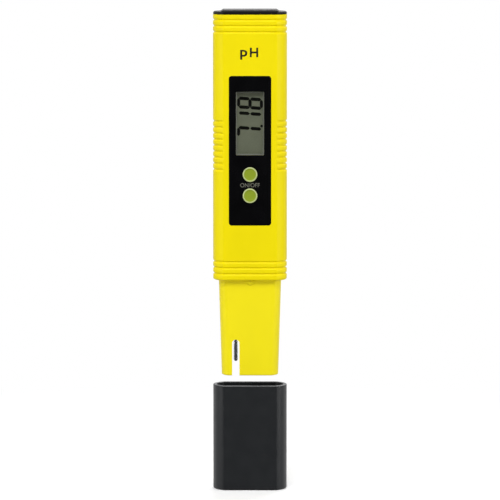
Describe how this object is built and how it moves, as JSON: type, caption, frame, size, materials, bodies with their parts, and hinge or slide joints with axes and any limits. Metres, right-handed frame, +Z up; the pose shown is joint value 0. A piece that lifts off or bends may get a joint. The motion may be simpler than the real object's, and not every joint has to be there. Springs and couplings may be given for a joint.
{
  "type": "digital ph meter",
  "caption": "Pen-type pH meter with a tall display window, round buttons, a guarded glass probe with a steel needle, a pull-out battery cap and a push-on protective cap.",
  "frame": {"origin": "centre of the flat closed end of the protective cap, which stands pulled off below the probe", "axes": "+Z up the pen from the cap to the battery end, -Y out of the display, +X to the display's right"},
  "size_m": [0.03, 0.0146, 0.1958],
  "materials": {
    "yellow_shell": "satin moulded ABS",
    "yellow_guard": "satin moulded ABS",
    "black_label": "glossy film",
    "clear_window": "clear acrylic",
    "lcd": "grey-green polariser",
    "reflector_foil": "matte foil",
    "dark_rubber": "matte",
    "board": "solder mask over glass-epoxy",
    "chip_black": "moulded epoxy",
    "chip_tan": "matte",
    "steel": "satin",
    "gold_contact": "plated spring strip",
    "white_plastic": "moulded",
    "probe_glass": "thin blown glass",
    "porous_ceramic": "porous",
    "wire_red": "insulation",
    "black_cap": "satin moulded ABS",
    "button_green": "moulded"
  },
  "bodies": {
    "housing": {"front_shell": "yellow_shell", "rear_shell": "yellow_shell", "front_label": "black_label", "rear_label": "black_label", "display_window": "clear_window", "lcd_frame": "white_plastic", "lcd_glass": "lcd", "lcd_reflector": "reflector_foil", "zebra_connectors": "dark_rubber", "circuit_board": "board", "controller_chip": "chip_black", "amplifier_chip": "chip_black", "crystal": "steel", "chip_resistors": "chip_black", "chip_capacitors": "chip_tan", "tact_switches": "chip_black", "pcb_screws": "steel", "battery_contacts": "gold_contact", "electrode_guard": "yellow_guard", "electrode_holder": "white_plastic", "holder_seal": "dark_rubber", "glass_electrode": "probe_glass", "glass_bulb": "probe_glass", "reference_wire": "steel", "reference_junction": "porous_ceramic", "temperature_probe": "steel", "signal_wires": "wire_red"},
    "battery_cap": {"battery_cap": "black_cap", "battery_tray": "black_cap", "button_cells": "steel", "cell_bridge": "gold_contact"},
    "power_button": {"power_button": "button_green", "power_plunger": "white_plastic"},
    "cal_button": {"cal_button": "button_green", "cal_plunger": "white_plastic"},
    "protective_cap": {"protective_cap": "black_cap"}
  },
  "joints": [
    {"name": "cap_slide", "type": "slide", "parent": "housing", "child": "protective_cap", "axis": [0, 0, 1], "range_m": [0, 0.0429]},
    {"name": "battery_slide", "type": "slide", "parent": "housing", "child": "battery_cap", "axis": [0, 0, 1], "range_m": [0, 0.03]},
    {"name": "power_press", "type": "slide", "parent": "housing", "child": "power_button", "axis": [0, 1, 0], "range_m": [0, 0.0005], "stiffness_N_per_m": 1600},
    {"name": "cal_press", "type": "slide", "parent": "housing", "child": "cal_button", "axis": [0, 1, 0], "range_m": [0, 0.0005], "stiffness_N_per_m": 1600}
  ]
}
